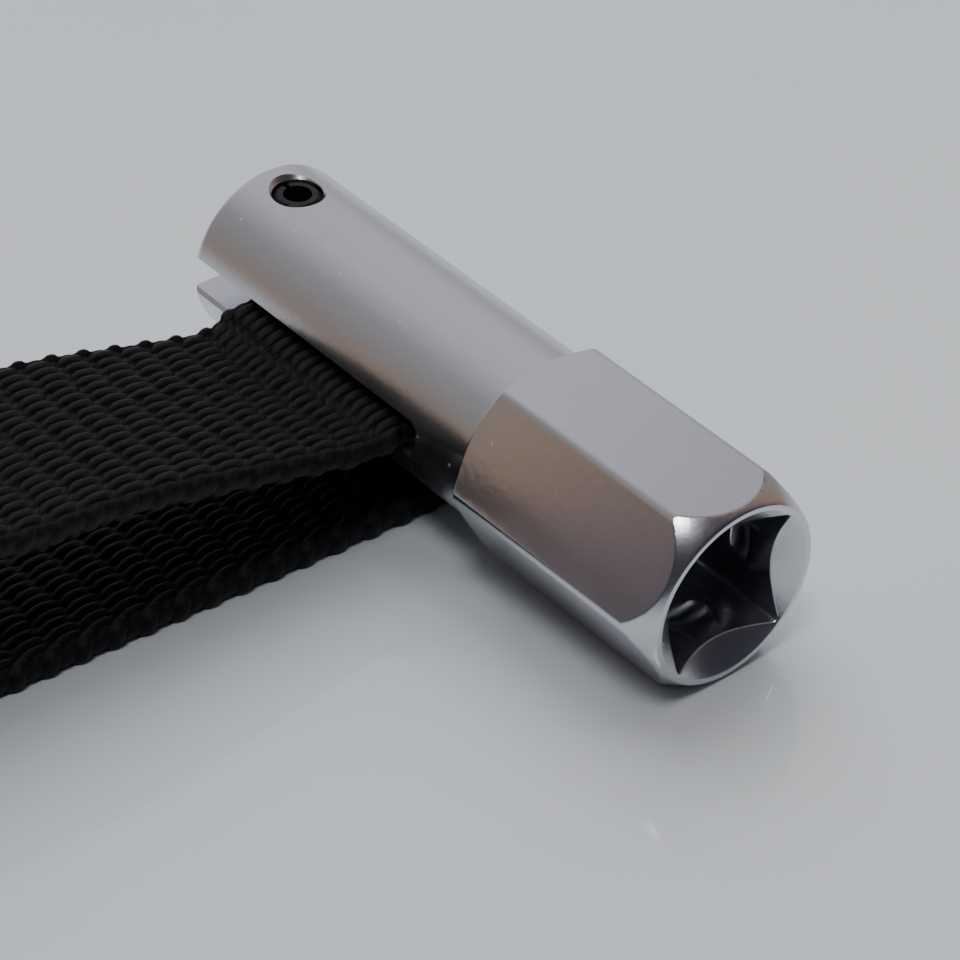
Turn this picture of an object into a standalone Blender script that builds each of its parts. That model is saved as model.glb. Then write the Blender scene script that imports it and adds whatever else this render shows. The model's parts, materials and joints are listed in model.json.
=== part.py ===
"""Strap wrench for oil filters: a plated steel drive bar, a spring pin and a sewn webbing loop.

The bar lies as it does on a bench: its drive end on the bench, and its slotted end lifted a
little by the webbing that passes under the lower prong. Metres, +Z up. The origin is on the
bench, under the middle of the whole tool.
"""

import math

import bmesh
import bpy
from mathutils import Matrix, Vector

MM = 0.001

# Drive end: a hexagon with a 1/2 inch female square.
HEX_ACROSS_FLATS = 20.0 * MM
HEX_LENGTH = 28.3 * MM
HEX_EDGE_RADIUS = 1.0 * MM
FACE_RADIUS = 9.65 * MM
NOSE_LENGTH = 3.2 * MM
SHOULDER_LENGTH = 1.7 * MM
SQUARE = 12.85 * MM
SQUARE_DEPTH = 17.0 * MM
SQUARE_CORNER = 0.6 * MM
LEAD_IN_RADIUS = 9.1 * MM
LEAD_IN_ANGLE = math.radians(45.0)
DRILL_POINT = 3.0 * MM
DETENT_DEPTH = 8.2 * MM
DETENT_WIDTH = 3.0 * MM
DETENT_RECESS = 0.75 * MM

# Slotted bar.
BAR_DIAMETER = 19.0 * MM
BAR_LENGTH = 70.7 * MM
BAR_END_RADIUS = 1.3 * MM
SLOT_WIDTH = 4.2 * MM
SLOT_DEPTH = 36.0 * MM
SLOT_EDGE = 0.35 * MM
SLOT_END_CORNER = 0.8 * MM

# Spring pin, pressed through both prongs.
PIN_DIAMETER = 5.0 * MM
PIN_WALL = 1.0 * MM
PIN_LENGTH = 18.0 * MM
PIN_FROM_END = 5.0 * MM
PIN_CHAMFER = 0.4 * MM
PIN_SLIT = 0.8 * MM
PIN_CLEARANCE = 0.15 * MM
PIN_COUNTERSINK = 0.5 * MM

# Webbing loop.
STRAP_WIDTH = 26.5 * MM
STRAP_THICKNESS = 2.4 * MM
STRAP_EDGE = 0.5 * MM
GAP = 0.3 * MM
PRONG_CORNER = 0.5 * MM
LOOP_REACH = 246.0 * MM
CROWN_HEIGHT = 33.0 * MM
NOSE_STRETCH = 1.25
SLOT_DIP = 1.6 * MM
DIP_REACH = 5.0 * MM
UNTWIST_REACH = 32.0 * MM
LAY_ANGLE = math.radians(3.4)
BIGHT_SHIFT = 2.1 * MM

# Where the webbing bends: the swing beside the bar and the fold half way out.
SWING_REACH = 18.0 * MM
SWING_RADIUS = 8.0 * MM
FOLD_REACH = 128.0 * MM
FOLD_RADIUS = 17.0 * MM

# Sewn seam.
LAP_START = 158.0 * MM
LAP_LENGTH = 42.0 * MM
THREAD_DIAMETER = 0.8 * MM
SEAM_ROWS = 5
SEAM_MARGIN = 4.0 * MM

ROUND_SEGMENTS = 64
SMALL_SEGMENTS = 32

BAR_RADIUS = BAR_DIAMETER / 2
HALF_FLATS = HEX_ACROSS_FLATS / 2
SLOT_END_X = -(BAR_LENGTH - SLOT_DEPTH)
PIN_X = -(BAR_LENGTH - PIN_FROM_END)
STRAP_SLOT_X = PIN_X + PIN_DIAMETER / 2 + GAP + STRAP_WIDTH / 2


# ---------------------------------------------------------------- scene helpers


def clear_scene():
    for old in list(bpy.data.objects):
        bpy.data.objects.remove(old, do_unlink=True)


def empty(name, parent=None):
    holder = bpy.data.objects.new(name, None)
    holder.parent = parent
    bpy.context.collection.objects.link(holder)
    return holder


def material(name, colour, roughness, metallic):
    finish = bpy.data.materials.new(name)
    finish.use_nodes = True
    shader = finish.node_tree.nodes["Principled BSDF"]
    shader.inputs["Base Color"].default_value = (*colour, 1.0)
    shader.inputs["Roughness"].default_value = roughness
    shader.inputs["Metallic"].default_value = metallic
    return finish


def solid(name, bm, parent, finish=None):
    """Turn a bmesh into a smooth-shaded object under its parent."""
    bmesh.ops.remove_doubles(bm, verts=bm.verts, dist=0.001 * MM)
    bmesh.ops.recalc_face_normals(bm, faces=bm.faces)
    mesh = bpy.data.meshes.new(name)
    bm.to_mesh(mesh)
    bm.free()
    mesh.shade_smooth()
    mesh.set_sharp_from_angle(angle=math.radians(30.0))
    if finish:
        mesh.materials.append(finish)
    body = bpy.data.objects.new(name, mesh)
    body.parent = parent
    bpy.context.collection.objects.link(body)
    return body


def as_cutter(body):
    body.hide_render = True
    body.display_type = "WIRE"
    return body


def combine(body, operation, tool):
    step = body.modifiers.new(f"{operation.lower()} {tool.name}", "BOOLEAN")
    step.operation = operation
    step.solver = "EXACT"
    step.object = as_cutter(tool)


# ---------------------------------------------------------------- shape helpers


def turned(outline, segments):
    """Turn an outline of (x, radius) points once round the X axis."""
    bm = bmesh.new()
    verts = [bm.verts.new((x, 0.0, radius)) for x, radius in outline]
    edges = [bm.edges.new(pair) for pair in zip(verts, verts[1:])]
    bmesh.ops.spin(
        bm,
        geom=verts + edges,
        cent=(0.0, 0.0, 0.0),
        axis=(1.0, 0.0, 0.0),
        angle=math.tau,
        steps=segments,
        use_merge=True,
    )
    return bm


def arc(centre, radius, start, end, steps):
    """Points on an arc, as (first, second) pairs, from one angle to the other."""
    points = []
    for step in range(steps + 1):
        angle = start + (end - start) * step / steps
        points.append((centre[0] + radius * math.cos(angle), centre[1] + radius * math.sin(angle)))
    return points


def prism(section, start, end):
    """Extrude a closed (y, z) section along X, from start to end."""
    bm = bmesh.new()
    verts = [bm.verts.new((start, y, z)) for y, z in section]
    face = bm.faces.new(verts)
    lifted = bmesh.ops.extrude_face_region(bm, geom=[face])["geom"]
    moved = [item for item in lifted if isinstance(item, bmesh.types.BMVert)]
    bmesh.ops.translate(bm, vec=(end - start, 0.0, 0.0), verts=moved)
    return bm


def rounded_box(low, high, radius, direction):
    """A box whose edges along one direction (0, 1 or 2) are rounded."""
    bm = bmesh.new()
    size = [high[i] - low[i] for i in range(3)]
    centre = [(high[i] + low[i]) / 2 for i in range(3)]
    bmesh.ops.create_cube(bm, size=1.0)
    bmesh.ops.scale(bm, vec=size, verts=bm.verts)
    bmesh.ops.translate(bm, vec=centre, verts=bm.verts)
    if radius:
        along = Vector([float(i == direction) for i in range(3)])
        chosen = [e for e in bm.edges if abs((e.verts[1].co - e.verts[0].co).normalized().dot(along)) > 0.9]
        bmesh.ops.bevel(
            bm, geom=chosen, offset=radius, affect="EDGES", segments=4, profile=0.5, material=-1
        )
    return bm


def cylinder_between(start, end, radius, segments):
    bm = bmesh.new()
    run = Vector(end) - Vector(start)
    bmesh.ops.create_cone(
        bm, cap_ends=True, segments=segments, radius1=radius, radius2=radius, depth=run.length
    )
    turn = run.to_track_quat("Z", "Y").to_matrix().to_4x4()
    place = Matrix.Translation((Vector(start) + Vector(end)) / 2) @ turn
    bmesh.ops.transform(bm, matrix=place, verts=bm.verts)
    return bm


def smoothstep(value):
    value = min(max(value, 0.0), 1.0)
    return value * value * (3.0 - 2.0 * value)


# ---------------------------------------------------------------- drive bar


def hexagon():
    """The hexagon bar stock, flats up and down, with softened edges."""
    corner = HALF_FLATS / math.cos(math.pi / 6)
    section = arc((0.0, 0.0), corner, 0.0, math.tau, 6)[:-1]
    bm = prism(section, 2.0 * NOSE_LENGTH, -HEX_LENGTH - 2.0 * MM)
    long_edges = [e for e in bm.edges if abs(e.verts[1].co.x - e.verts[0].co.x) > MM]
    bmesh.ops.bevel(
        bm,
        geom=long_edges,
        offset=HEX_EDGE_RADIUS * math.tan(math.pi / 6),
        affect="EDGES",
        segments=4,
        profile=0.5,
        material=-1,
    )
    return bm


def hexagon_ends():
    """What the lathe leaves of the hexagon: a domed nose and a sloped shoulder."""
    outer = HALF_FLATS / math.cos(math.pi / 6) + 0.2 * MM
    rise = outer - FACE_RADIUS
    outline = [(0.0, 0.0), (0.0, FACE_RADIUS)]
    for step in range(1, 7):
        angle = math.pi / 2 * step / 6
        outline.append((-NOSE_LENGTH * (1.0 - math.cos(angle)), FACE_RADIUS + rise * math.sin(angle)))
    outline.append((-HEX_LENGTH + SHOULDER_LENGTH, outer))
    outline.append((-HEX_LENGTH, BAR_RADIUS - 0.2 * MM))
    outline.append((-HEX_LENGTH, 0.0))
    return turned(outline, ROUND_SEGMENTS)


def round_bar():
    """The turned bar behind the hexagon, with its rounded free end."""
    inside = -HEX_LENGTH + 6.0 * MM
    corner = (-BAR_LENGTH + BAR_END_RADIUS, BAR_RADIUS - BAR_END_RADIUS)
    outline = [(inside, 0.0), (inside, BAR_RADIUS)]
    outline += arc(corner, BAR_END_RADIUS, math.pi / 2, math.pi, 4)
    outline.append((-BAR_LENGTH, 0.0))
    return turned(outline, ROUND_SEGMENTS)


def square_cutter():
    half = SQUARE / 2
    return rounded_box((-SQUARE_DEPTH, -half, -half), (2.0 * MM, half, half), SQUARE_CORNER, 0)


def lead_in_cutter():
    """The wide cone that guides the square in, and leaves an arc on each wall."""
    start = 1.0 * MM
    deep = 5.0 * MM
    slope = math.tan(LEAD_IN_ANGLE)
    outline = [
        (start, 0.0),
        (start, LEAD_IN_RADIUS + start * slope),
        (-deep, LEAD_IN_RADIUS - deep * slope),
        (-deep, 0.0),
    ]
    return turned(outline, ROUND_SEGMENTS)


def drill_cutter():
    """The drilled hole that the broach ran out into."""
    radius = SQUARE / 2 - 0.3 * MM
    bottom = -SQUARE_DEPTH - DRILL_POINT
    outline = [(-SQUARE_DEPTH + MM, 0.0), (-SQUARE_DEPTH + MM, radius)]
    outline.append((bottom + 0.5 * DRILL_POINT, radius))
    outline.append((bottom, 0.0))
    return turned(outline, SMALL_SEGMENTS)


def detent_cutter():
    """The turned groove for the ratchet's ball: it only breaks the middle of each wall."""
    deepest = SQUARE / 2 + DETENT_RECESS
    half = DETENT_WIDTH / 2
    outline = [(-DETENT_DEPTH + half, SQUARE / 2 - MM)]
    outline += [
        (-DETENT_DEPTH + half * math.cos(angle), SQUARE / 2 + (deepest - SQUARE / 2) * math.sin(angle))
        for angle in (math.pi * step / 6 for step in range(7))
    ]
    outline.append((-DETENT_DEPTH - half, SQUARE / 2 - MM))
    outline.append(outline[0])
    return turned(outline, SMALL_SEGMENTS)


def slot_cutter():
    """The slot that splits the bar into two prongs, open at the free end."""
    half = SLOT_WIDTH / 2
    low = (-BAR_LENGTH - 2.0 * SLOT_WIDTH, -BAR_DIAMETER, -half)
    high = (SLOT_END_X, BAR_DIAMETER, half)
    return rounded_box(low, high, SLOT_END_CORNER, 1)


def slot_edge_cutter(side):
    """A wedge along one mouth of the slot, which breaks both of its edges."""
    half = SLOT_WIDTH / 2
    break_y = math.sqrt(BAR_RADIUS**2 - half**2) - SLOT_EDGE
    clear = SLOT_EDGE + 2.0 * MM
    section = [
        (side * (break_y - half), 0.0),
        (side * (break_y + clear), half + clear),
        (side * (break_y + clear), -half - clear),
    ]
    return prism(section, -BAR_LENGTH - 2.0 * MM, SLOT_END_X - SLOT_END_CORNER)


def pin_hole_cutter():
    """The pin's hole through both prongs, countersunk where it comes out."""
    hole = PIN_DIAMETER / 2 + PIN_CLEARANCE
    mouth = BAR_RADIUS - PIN_COUNTERSINK
    wide = hole + 2.0 * PIN_COUNTERSINK
    outline = [(mouth + wide - hole, 0.0), (mouth + wide - hole, wide), (mouth, hole)]
    outline += [(-x, radius) for x, radius in reversed(outline)]
    bm = turned(outline, SMALL_SEGMENTS)
    bmesh.ops.rotate(bm, cent=(0, 0, 0), matrix=Matrix.Rotation(-math.pi / 2, 3, "Y"), verts=bm.verts)
    bmesh.ops.translate(bm, vec=(PIN_X, 0.0, 0.0), verts=bm.verts)
    return bm


def build_drive_bar(axis):
    chrome = material("chrome plate", (0.72, 0.72, 0.75), 0.12, 1.0)
    bar = solid("drive_bar", hexagon(), axis, chrome)
    combine(bar, "INTERSECT", solid("hexagon_ends", hexagon_ends(), axis))
    combine(bar, "UNION", solid("round_bar", round_bar(), axis))
    cutters = {
        "square": square_cutter(),
        "lead_in": lead_in_cutter(),
        "drilled_end": drill_cutter(),
        "detent_groove": detent_cutter(),
        "slot": slot_cutter(),
        "slot_left_edge": slot_edge_cutter(-1.0),
        "slot_right_edge": slot_edge_cutter(1.0),
        "pin_hole": pin_hole_cutter(),
    }
    for name, bm in cutters.items():
        combine(bar, "DIFFERENCE", solid(name, bm, axis))


def build_spring_pin(axis):
    """A rolled tube with a slit down its side, standing in both prongs."""
    black = material("black oxide", (0.03, 0.03, 0.035), 0.45, 1.0)
    outer = PIN_DIAMETER / 2
    inner = outer - PIN_WALL
    half = PIN_LENGTH / 2
    outline = [
        (half, inner),
        (half, outer - PIN_CHAMFER),
        (half - PIN_CHAMFER, outer),
        (-half + PIN_CHAMFER, outer),
        (-half, outer - PIN_CHAMFER),
        (-half, inner),
        (half, inner),
    ]
    bm = turned(outline, SMALL_SEGMENTS)
    bmesh.ops.rotate(bm, cent=(0, 0, 0), matrix=Matrix.Rotation(math.pi / 2, 3, "Y"), verts=bm.verts)
    pin = solid("spring_pin", bm, axis, black)
    pin.location = (PIN_X, 0.0, 0.0)
    slit_low = (-outer - MM, -PIN_SLIT / 2, -PIN_LENGTH)
    slit_high = (0.0, PIN_SLIT / 2, PIN_LENGTH)
    slit = solid("pin_slit", rounded_box(slit_low, slit_high, 0.0, 0), axis)
    slit.location = pin.location
    combine(pin, "DIFFERENCE", slit)


# ---------------------------------------------------------------- how the tool lies


def flat_start():
    """How far behind the end face the hexagon's flats begin."""
    outer = HALF_FLATS / math.cos(math.pi / 6) + 0.2 * MM
    lift = (HALF_FLATS - FACE_RADIUS) / (outer - FACE_RADIUS)
    return NOSE_LENGTH * (1.0 - math.sqrt(1.0 - lift * lift))


def bar_pitch():
    """The bar's angle when it rests on its nose and on the webbing under the lower prong."""
    near_edge = -STRAP_SLOT_X - STRAP_WIDTH / 2 - BIGHT_SHIFT
    reach = near_edge - flat_start()
    step = HALF_FLATS - BAR_RADIUS
    lift = STRAP_THICKNESS + GAP
    return math.asin(lift / math.hypot(reach, step)) - math.atan2(step, reach)


PITCH = bar_pitch()
BENCH_Z = -HALF_FLATS * math.cos(PITCH) + flat_start() * math.sin(PITCH)
TO_BENCH = Matrix.Rotation(PITCH, 4, "Y")


# ---------------------------------------------------------------- webbing route
#
# A station is (place, tilt): the middle of the webbing's section and how far the section
# leans with the bar. The loop runs out along the bench, round its far end, back over
# itself, through the slot and round the lower prong.


def lean_at(y):
    """The webbing leans with the bar beside it, and lies level further out."""
    return PITCH * (1.0 - smoothstep((-y - BAR_RADIUS) / UNTWIST_REACH))


def across_at(y, side):
    """The middle of the webbing across the tool: the loop lies a little askew."""
    mouth = -BAR_RADIUS
    middle = STRAP_SLOT_X + BIGHT_SHIFT / 2 + (y - mouth) * math.tan(LAY_ANGLE)
    closing = 1.0 - smoothstep(-y / LOOP_REACH)
    return middle + side * closing * BIGHT_SHIFT / 2


def lower_height(y):
    return BENCH_Z + STRAP_THICKNESS / 2 + STRAP_WIDTH / 2 * math.sin(lean_at(y))


def slot_middle():
    """Height, in the bar's own frame, of the webbing on the lower prong's flat."""
    return -SLOT_WIDTH / 2 + GAP + STRAP_THICKNESS / 2


def nose_size():
    """Half height and half length of the loop's round far end."""
    half_height = (CROWN_HEIGHT - STRAP_THICKNESS) / 2
    return half_height, half_height * NOSE_STRETCH


def crown_y():
    return -LOOP_REACH + STRAP_THICKNESS / 2 + nose_size()[1]


def upper_guides():
    """The few points that the upper run passes through, from the slot's mouth to the crown."""
    mouth_y = -BAR_RADIUS
    in_slot = TO_BENCH @ Vector((across_at(mouth_y, -1), mouth_y, slot_middle()))
    run = mouth_y - crown_y()
    crown = BENCH_Z + CROWN_HEIGHT - STRAP_THICKNESS / 2
    climb = crown - in_slot.z
    return [
        (mouth_y + 6.0 * MM, in_slot.z),
        (mouth_y, in_slot.z),
        (mouth_y - DIP_REACH, in_slot.z - SLOT_DIP),
        (mouth_y - 0.06 * run, in_slot.z - 0.35 * SLOT_DIP),
        (mouth_y - 0.12 * run, in_slot.z + 0.10 * climb),
        (mouth_y - 0.24 * run, in_slot.z + 0.24 * climb),
        (mouth_y - 0.50 * run, in_slot.z + 0.62 * climb),
        (mouth_y - 0.78 * run, in_slot.z + 0.93 * climb),
        (crown_y(), crown),
        (crown_y() - 20.0 * MM, crown - 2.0 * MM),
    ]


def smooth_through(points, steps):
    """A smooth curve (Catmull-Rom) through the inner points of a list."""
    curve = []
    for before, here, there, after in zip(points, points[1:], points[2:], points[3:]):
        for step in range(steps):
            t = step / steps
            weights = (
                -0.5 * t + t * t - 0.5 * t**3,
                1.0 - 2.5 * t * t + 1.5 * t**3,
                0.5 * t + 2.0 * t * t - 1.5 * t**3,
                -0.5 * t * t + 0.5 * t**3,
            )
            four = (before, here, there, after)
            curve.append(tuple(sum(w * p[i] for w, p in zip(weights, four)) for i in range(2)))
    curve.append(points[-2])
    return curve


def lower_run():
    """Out along the bench, from under the bar to the start of the far end."""
    steps = 40
    stations = []
    for step in range(steps):
        y = crown_y() * step / steps
        stations.append((Vector((across_at(y, 1), y, lower_height(y))), lean_at(y)))
    return stations


def far_end():
    """Round the loop's far end, from the bench up to the crown."""
    half_height, half_length = nose_size()
    middle = BENCH_Z + CROWN_HEIGHT / 2
    steps = 20
    stations = []
    for step in range(steps):
        angle = math.pi * step / steps
        y = crown_y() - half_length * math.sin(angle)
        side = math.cos(angle)
        place = Vector((across_at(y, side), y, middle - half_height * math.cos(angle)))
        stations.append((place, 0.0))
    return stations


def upper_run():
    """Back over the lower run, from the crown to the slot's mouth."""
    curve = smooth_through(upper_guides(), 6)
    return [(Vector((across_at(y, -1), y, z)), lean_at(y)) for y, z in reversed(curve)]


def bight():
    """Through the slot, round the lower prong and back under it."""
    flat = slot_middle()
    bend = PRONG_CORNER + GAP + STRAP_THICKNESS / 2
    wrap = BAR_RADIUS + GAP + STRAP_THICKNESS / 2
    corner_z = -SLOT_WIDTH / 2 - PRONG_CORNER
    corner_y = math.sqrt((BAR_RADIUS - PRONG_CORNER) ** 2 - corner_z**2)
    leave = math.atan2(corner_z, corner_y)
    section = [(-BAR_RADIUS + corner_y * step / 3, flat) for step in range(1, 6)]
    section += arc((corner_y, corner_z), bend, math.pi / 2, leave, 8)
    section += arc((0.0, 0.0), wrap, leave, -math.pi / 2, 12)[1:-1]
    lengths = [0.0]
    for here, there in zip(section, section[1:]):
        lengths.append(lengths[-1] + math.dist(here, there))
    in_slot = lengths[4]
    stations = []
    for (y, z), length in zip(section, lengths):
        side = -1.0 + 2.0 * smoothstep((length - in_slot) / (lengths[-1] - in_slot))
        place = TO_BENCH @ Vector((across_at(y, side), y, z))
        stations.append((place, PITCH))
    return stations


def part_of(stations, nearest, furthest):
    """The stations whose reach from the bar lies between two values."""
    return [s for s in stations if nearest <= -s[0].y <= furthest]


def section_axes(stations, index):
    """The webbing's width and thickness directions at one station."""
    before = stations[max(index - 1, 0)][0]
    after = stations[min(index + 1, len(stations) - 1)][0]
    tilt = stations[index][1]
    lay = LAY_ANGLE * (1.0 - tilt / PITCH)
    across = Vector((math.cos(tilt) * math.cos(lay), -math.sin(lay), -math.sin(tilt)))
    return across, (after - before).cross(across).normalized()


def band(stations, half_width, half_thickness, edge, lift=0.0):
    """Webbing swept along its stations: each section is bridged to the next."""
    outline = []
    for u, v in ((1, 1), (-1, 1), (-1, -1), (1, -1)):
        along_width = (u * (half_width - edge), v * half_thickness)
        along_thickness = (u * half_width, v * (half_thickness - edge))
        pair = [along_width, along_thickness] if u * v < 0 else [along_thickness, along_width]
        outline += pair
    bm = bmesh.new()
    rings = []
    for index, (place, _) in enumerate(stations):
        across, up = section_axes(stations, index)
        verts = [bm.verts.new(place + u * across + (v + lift) * up) for u, v in outline]
        rings.append([bm.edges.new(pair) for pair in zip(verts, verts[1:] + verts[:1])])
    for first, second in zip(rings, rings[1:]):
        bmesh.ops.bridge_loops(bm, edges=first + second)
    bmesh.ops.holes_fill(bm, edges=rings[0] + rings[-1], sides=len(outline))
    return bm


# ---------------------------------------------------------------- where the webbing bends


def middle_between(reach):
    """The point half way between the two runs, at one reach from the bar."""
    upper = min(upper_run(), key=lambda s: abs(-s[0].y - reach))[0]
    lower = min(lower_run(), key=lambda s: abs(-s[0].y - reach))[0]
    middle = (upper + lower) / 2
    middle.y = -reach
    return middle


def bend_barrel(centre, axis, radius):
    half = 0.8 * STRAP_WIDTH
    return cylinder_between(centre - half * axis, centre + half * axis, radius, ROUND_SEGMENTS)


def bend_block(name, centre, axis, radius, parent):
    """Everything on the bar's side of a bend, outside the round barrel of that bend."""
    half = 0.7 * STRAP_WIDTH
    margin = 3.0 * MM
    low = (-half, 0.0, -radius - margin)
    high = (half, radius + margin, radius + margin)
    bm = rounded_box(low, high, 0.0, 0)
    turn = axis.to_track_quat("X", "Z").to_matrix().to_4x4()
    bmesh.ops.transform(bm, matrix=Matrix.Translation(centre) @ turn, verts=bm.verts)
    block = solid(name, bm, parent)
    combine(block, "DIFFERENCE", solid(f"{name}_barrel", bend_barrel(centre, axis, radius), parent))
    return block


def build_webbing(tool):
    webbing = material("black webbing", (0.012, 0.012, 0.013), 0.85, 0.0)
    size = (STRAP_WIDTH / 2, STRAP_THICKNESS / 2, STRAP_EDGE)
    swing_axis = TO_BENCH.to_3x3() @ Vector((1.0, 0.0, 0.0))
    fold_axis = Vector((math.cos(LAY_ANGLE), -math.sin(LAY_ANGLE), 0.0))
    swing = middle_between(SWING_REACH)
    fold = middle_between(FOLD_REACH)
    lower, upper = lower_run(), upper_run()

    turn = part_of(upper, BAR_RADIUS - 0.1 * MM, SWING_REACH) + bight()
    turn += part_of(lower, -MM, SWING_REACH)
    bight_body = solid("strap_bight", band(turn, *size), tool, webbing)
    barrel = bend_barrel(swing, swing_axis, SWING_RADIUS + GAP)
    combine(bight_body, "DIFFERENCE", solid("swing_clearance", barrel, tool))

    swing_block = bend_block("swing_block", swing, swing_axis, SWING_RADIUS, tool)
    barrel = bend_barrel(fold, fold_axis, FOLD_RADIUS + GAP)
    fold_clearance = solid("fold_clearance", barrel, tool)
    near = SWING_REACH - SWING_RADIUS
    for name, run in (("strap_upper_run", upper), ("strap_lower_run", lower)):
        stations = part_of(run, near, FOLD_REACH)
        body = solid(name, band(stations, *size), tool, webbing)
        combine(body, "DIFFERENCE", swing_block)
        combine(body, "DIFFERENCE", fold_clearance)

    near = FOLD_REACH - FOLD_RADIUS
    stations = part_of(lower, near, LOOP_REACH) + far_end() + part_of(upper, near, LOOP_REACH)
    end_body = solid("strap_end_loop", band(stations, *size), tool, webbing)
    combine(end_body, "DIFFERENCE", bend_block("fold_block", fold, fold_axis, FOLD_RADIUS, tool))


# ---------------------------------------------------------------- sewn seam


def even_stations(stations, start, length, count):
    """Stations spread evenly by reach over a stretch of a run."""
    chosen = []
    for step in range(count + 1):
        reach = start + length * step / count
        after = next(i for i, s in enumerate(stations) if -s[0].y <= reach)
        far, near = stations[after - 1][0], stations[after][0]
        share = (reach + far.y) / (far.y - near.y)
        chosen.append((far.lerp(near, share), 0.0))
    return chosen


def build_lap(tool):
    """The webbing's cut end, laid over its other end and sewn down."""
    webbing = material("black webbing end", (0.012, 0.012, 0.013), 0.85, 0.0)
    stations = even_stations(upper_run(), LAP_START, LAP_LENGTH, 10)
    size = (STRAP_WIDTH / 2, STRAP_THICKNESS / 2, STRAP_EDGE)
    lift = STRAP_THICKNESS + GAP
    lap = solid("strap_lap", band(stations, *size, lift=outward(stations) * lift), tool, webbing)
    return lap


def outward(stations):
    """+1 or -1: which way along the section's thickness leaves the loop."""
    return 1.0 if section_axes(stations, 1)[1].z > 0.0 else -1.0


def thread_row_points(height):
    """One thread sewn back and forth across the lap, in rows joined at their ends."""
    stations = even_stations(upper_run(), LAP_START + SEAM_MARGIN, LAP_LENGTH - 2 * SEAM_MARGIN, 8)
    side = outward(stations)
    half = STRAP_WIDTH / 2 - SEAM_MARGIN
    points = []
    for row in range(SEAM_ROWS):
        offset = -half + 2.0 * half * row / (SEAM_ROWS - 1)
        order = range(len(stations)) if row % 2 == 0 else reversed(range(len(stations)))
        for index in order:
            across, up = section_axes(stations, index)
            points.append(stations[index][0] + offset * across + side * height * up)
    return points


def build_thread(name, height, tool, finish):
    curve = bpy.data.curves.new(name, "CURVE")
    curve.dimensions = "3D"
    curve.bevel_depth = THREAD_DIAMETER / 2
    curve.bevel_resolution = 1
    curve.use_fill_caps = True
    points = thread_row_points(height)
    spline = curve.splines.new("POLY")
    spline.points.add(len(points) - 1)
    for point, place in zip(spline.points, points):
        point.co = (*place, 1.0)
    curve.materials.append(finish)
    thread = bpy.data.objects.new(name, curve)
    thread.parent = tool
    bpy.context.collection.objects.link(thread)


def build_seam(tool):
    polyester = material("sewing thread", (0.02, 0.02, 0.022), 0.6, 0.0)
    clear = THREAD_DIAMETER / 2 + GAP
    build_lap(tool)
    build_thread("seam_thread", 1.5 * STRAP_THICKNESS + GAP + clear, tool, polyester)
    build_thread("seam_bobbin_thread", -STRAP_THICKNESS / 2 - clear, tool, polyester)


# ---------------------------------------------------------------- the whole tool


def centre_on_bench(tool):
    """Put the origin on the bench, under the middle of the tool's box."""
    bpy.context.view_layer.update()
    graph = bpy.context.evaluated_depsgraph_get()
    corners = []
    for body in bpy.data.objects:
        if body.type in {"MESH", "CURVE"} and not body.hide_render:
            shape = body.evaluated_get(graph)
            mesh = shape.to_mesh()
            corners += [shape.matrix_world @ vertex.co for vertex in mesh.vertices]
            shape.to_mesh_clear()
    low = [min(corner[i] for corner in corners) for i in range(3)]
    high = [max(corner[i] for corner in corners) for i in range(3)]
    tool.location = (-(low[0] + high[0]) / 2, -(low[1] + high[1]) / 2, -low[2])


def main():
    clear_scene()
    tool = empty("tool")
    axis = empty("bar_axis", tool)
    axis.rotation_euler = (0.0, PITCH, 0.0)
    build_drive_bar(axis)
    build_spring_pin(axis)
    build_webbing(tool)
    build_seam(tool)
    centre_on_bench(tool)


main()
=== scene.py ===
"""Strap oil filter wrench: a plated drive bar, a spring pin and a sewn webbing loop on a bench."""

import json
import math

import bmesh
import bpy
import numpy as np
from mathutils import Matrix, Vector


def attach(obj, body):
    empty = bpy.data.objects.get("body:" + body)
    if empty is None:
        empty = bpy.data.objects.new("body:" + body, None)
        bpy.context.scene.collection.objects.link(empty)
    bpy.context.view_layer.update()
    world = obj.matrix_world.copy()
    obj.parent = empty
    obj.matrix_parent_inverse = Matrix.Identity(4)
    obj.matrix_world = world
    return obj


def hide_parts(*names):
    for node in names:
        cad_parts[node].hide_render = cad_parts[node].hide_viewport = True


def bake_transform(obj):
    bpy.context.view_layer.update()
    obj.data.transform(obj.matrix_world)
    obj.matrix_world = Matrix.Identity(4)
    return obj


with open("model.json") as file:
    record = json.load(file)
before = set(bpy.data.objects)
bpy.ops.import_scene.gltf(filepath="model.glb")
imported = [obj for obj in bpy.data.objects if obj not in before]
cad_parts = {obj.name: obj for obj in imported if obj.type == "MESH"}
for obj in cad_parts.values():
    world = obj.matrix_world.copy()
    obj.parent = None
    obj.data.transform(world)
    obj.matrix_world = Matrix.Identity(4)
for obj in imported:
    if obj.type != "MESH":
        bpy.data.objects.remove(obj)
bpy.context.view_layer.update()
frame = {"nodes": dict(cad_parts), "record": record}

# ---------------------------------------------------------------- camera
# The bar's own frame comes from its two finished faces: X out of the drive end and Z out
# of the top flat, with the origin in the middle of the drive end's face. The camera
# stands in front of the drive end and looks down on it.

MM = 0.001
FACE_RING_MIDDLE = 9.375 * MM
mounts = {mount["name"]: mount for mount in frame["record"]["mounts"]}
bar_x = Vector(mounts["drive_end"]["axis"]).normalized()
bar_z = Vector(mounts["spanner_flat_top"]["axis"]).normalized()
bar_y = bar_z.cross(bar_x)
bar_origin = Vector(mounts["drive_end"]["pos_m"]) - FACE_RING_MIDDLE * bar_z
TO_BENCH = Matrix((bar_x, bar_y, bar_z)).transposed().to_4x4()
BAR_PLACE = Matrix.Translation(bar_origin) @ TO_BENCH
PITCH = math.asin(-bar_x.z)

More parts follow.
